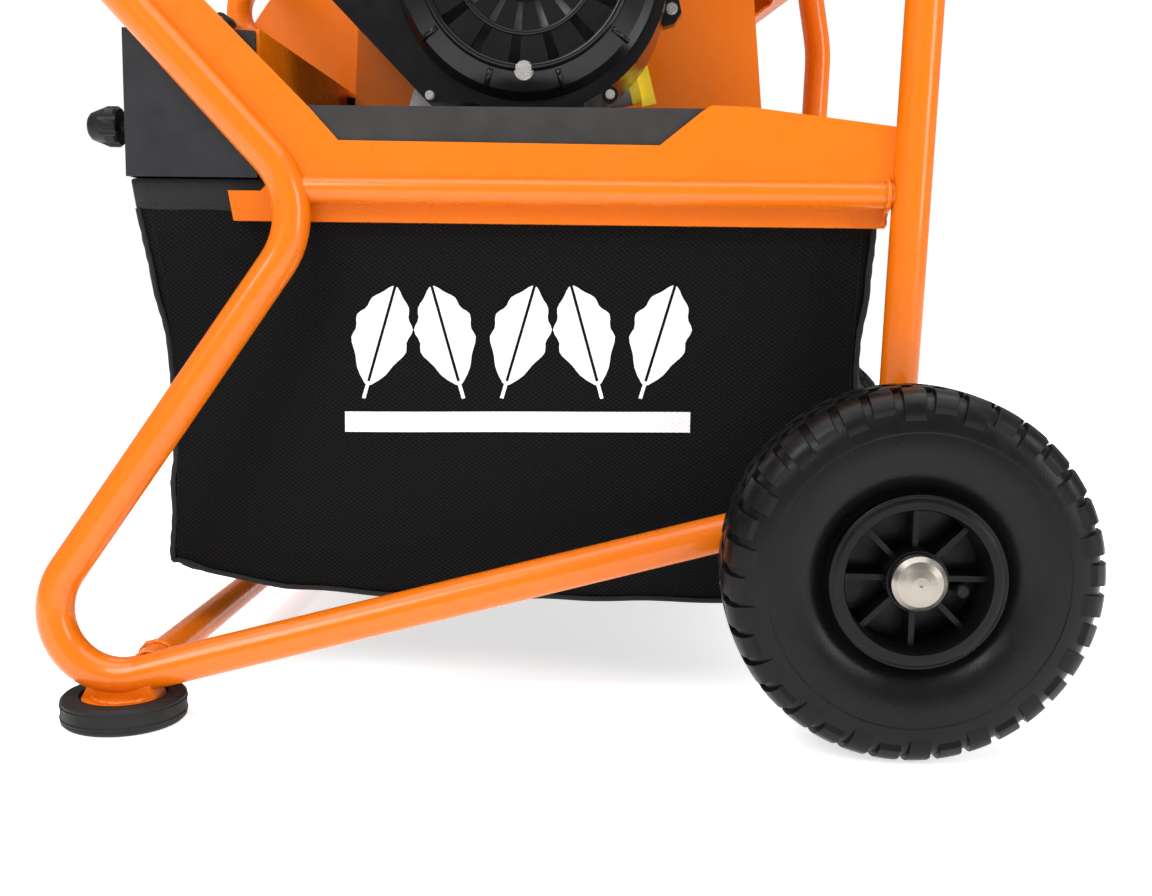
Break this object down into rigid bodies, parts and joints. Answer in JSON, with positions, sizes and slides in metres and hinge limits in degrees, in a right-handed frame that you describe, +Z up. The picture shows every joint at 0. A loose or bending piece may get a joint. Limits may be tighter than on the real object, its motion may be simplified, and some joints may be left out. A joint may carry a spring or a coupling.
{
  "type": "leaf vacuum mulcher",
  "caption": "Walk-behind leaf vacuum mulcher: tube frame, wheels and feet, petrol engine driving a shredding fan, hinged hood, and a cloth collection bag sliding on rails under the deck.",
  "frame": {"origin": "on the ground, at the middle of the machine's outline in X and Y", "axes": "+Z up, +X from the handle end to the wheel end, +Y to the fan side; the operator at the handle end faces +X"},
  "size_m": [0.7917, 0.7912, 0.8941],
  "materials": {
    "bag_cloth": "coarse woven black cloth with a white print",
    "black_paint": "satin black enamel",
    "black_plastic": "textured black moulding",
    "cast_alloy": "as cast",
    "ceramic": "white glazed insulator",
    "cord": "braided nylon",
    "foam": "closed-cell foam",
    "gloss_black_plastic": "glossy black moulding",
    "iron": "as cast",
    "orange_paint": "glossy orange enamel with small wear marks",
    "red_plastic": "gloss",
    "rubber": "dull black",
    "rusted_steel": "heat browned",
    "steel": "zinc plated, satin",
    "tyre_rubber": "black with moulded tread",
    "yellow_plastic": "yellow moulding"
  },
  "bodies": {
    "machine": {"loop_tube_right": "orange_paint", "loop_tube_left": "orange_paint", "uprights": "orange_paint", "foot_beam": "orange_paint", "handle_tube": "orange_paint", "handle_grip": "foam", "top_cross_tube": "orange_paint", "foot_pads": "rubber", "side_plate_right": "orange_paint", "side_plate_left": "orange_paint", "rail_tubes": "orange_paint", "bag_rails": "orange_paint", "deck": "black_paint", "bag_lid": "orange_paint", "hinge_pin": "rusted_steel", "axle": "steel", "hub_caps": "steel", "fasteners": "steel", "crankcase": "cast_alloy", "cylinder_head": "cast_alloy", "valve_cover": "gloss_black_plastic", "blower_housing": "gloss_black_plastic", "recoil_cover": "black_plastic", "fuel_tank": "black_plastic", "carburettor": "cast_alloy", "air_filter": "black_plastic", "muffler": "rusted_steel", "muffler_guard": "black_paint", "spark_plug": "ceramic", "spark_lead": "gloss_black_plastic", "fan_front_plate": "orange_paint", "fan_housing": "orange_paint", "intake_duct": "orange_paint"},
    "wheel_right": {"tyre_right": "tyre_rubber", "rim_right": "black_plastic", "hub_bushes_right": "steel", "inner_tube_right": "rubber"},
    "wheel_left": {"tyre_left": "tyre_rubber", "rim_left": "black_plastic", "hub_bushes_left": "steel", "inner_tube_left": "rubber"},
    "crank": {"crankshaft": "steel", "flywheel": "iron", "impeller": "steel", "mulching_blade": "steel", "impeller_bolt": "steel"},
    "pulley": {"starter_pulley": "iron"},
    "starter": {"starter_rope": "cord", "starter_handle": "black_plastic"},
    "hood": {"hood": "black_paint"},
    "latch_right": {"latch_right": "black_plastic"},
    "latch_left": {"latch_left": "black_plastic"},
    "bag": {"bag": "bag_cloth", "bag_frame": "steel"},
    "throttle": {"throttle_lever": "steel"},
    "choke": {"choke_lever": "black_plastic"},
    "fuel_tap": {"fuel_lever": "black_plastic"},
    "switch": {"stop_switch": "red_plastic"},
    "cap": {"fuel_cap": "black_plastic"},
    "dipstick": {"dipstick": "yellow_plastic"}
  },
  "joints": [
    {"name": "wheel_right_spin", "type": "hinge", "parent": "machine", "child": "wheel_right", "pos_m": [0.267, -0.3455, 0.13], "axis": [0, 1, 0], "continuous": true},
    {"name": "wheel_left_spin", "type": "hinge", "parent": "machine", "child": "wheel_left", "pos_m": [0.267, 0.3455, 0.13], "axis": [0, 1, 0], "continuous": true},
    {"name": "crank_spin", "type": "hinge", "parent": "machine", "child": "crank", "pos_m": [-0.014, 0, 0.568], "axis": [0, 1, 0], "continuous": true},
    {"name": "starter_pull", "type": "slide", "parent": "machine", "child": "starter", "axis": [0, 0, 1], "range_m": [0, 0.6]},
    {"name": "pulley_spin", "type": "hinge", "parent": "machine", "child": "pulley", "pos_m": [-0.014, -0.2085, 0.568], "axis": [0, 1, 0], "range_deg": [0, 770]},
    {"name": "hood_open", "type": "hinge", "parent": "machine", "child": "hood", "pos_m": [-0.241, 0, 0.518], "axis": [0, 1, 0], "range_deg": [0, 80]},
    {"name": "latch_right_turn", "type": "hinge", "parent": "hood", "child": "latch_right", "pos_m": [-0.32, -0.2335, 0.441], "axis": [-1, 0, 0], "range_deg": [0, 90]},
    {"name": "latch_left_turn", "type": "hinge", "parent": "hood", "child": "latch_left", "pos_m": [-0.32, 0.2335, 0.441], "axis": [1, 0, 0], "range_deg": [0, 90]},
    {"name": "bag_slide", "type": "slide", "parent": "machine", "child": "bag", "axis": [-1, 0, 0], "range_m": [0, 0.4]},
    {"name": "throttle_turn", "type": "hinge", "parent": "machine", "child": "throttle", "pos_m": [-0.081, -0.122, 0.686], "axis": [0, -1, 0], "range_deg": [-20, 20]},
    {"name": "choke_turn", "type": "hinge", "parent": "machine", "child": "choke", "pos_m": [-0.196, -0.1045, 0.666], "axis": [0, -1, 0], "range_deg": [0, 25]},
    {"name": "fuel_tap_turn", "type": "hinge", "parent": "machine", "child": "fuel_tap", "pos_m": [-0.196, -0.1045, 0.644], "axis": [0, -1, 0], "range_deg": [0, 25]},
    {"name": "switch_turn", "type": "hinge", "parent": "machine", "child": "switch", "pos_m": [-0.126, -0.205, 0.622], "axis": [0, 1, 0], "range_deg": [0, 60]},
    {"name": "cap_turn", "type": "hinge", "parent": "machine", "child": "cap", "pos_m": [0.03, -0.03, 0.79], "axis": [0, 0, 1], "range_deg": [0, 90]},
    {"name": "dipstick_turn", "type": "hinge", "parent": "machine", "child": "dipstick", "pos_m": [0.0664, -0.05, 0.4974], "axis": [0.9661, 0, 0.2582], "range_deg": [0, 720]}
  ],
  "couplings": [
    {"joint": "pulley_spin", "follows": "starter_pull", "rad_per_m": 22.222}
  ]
}
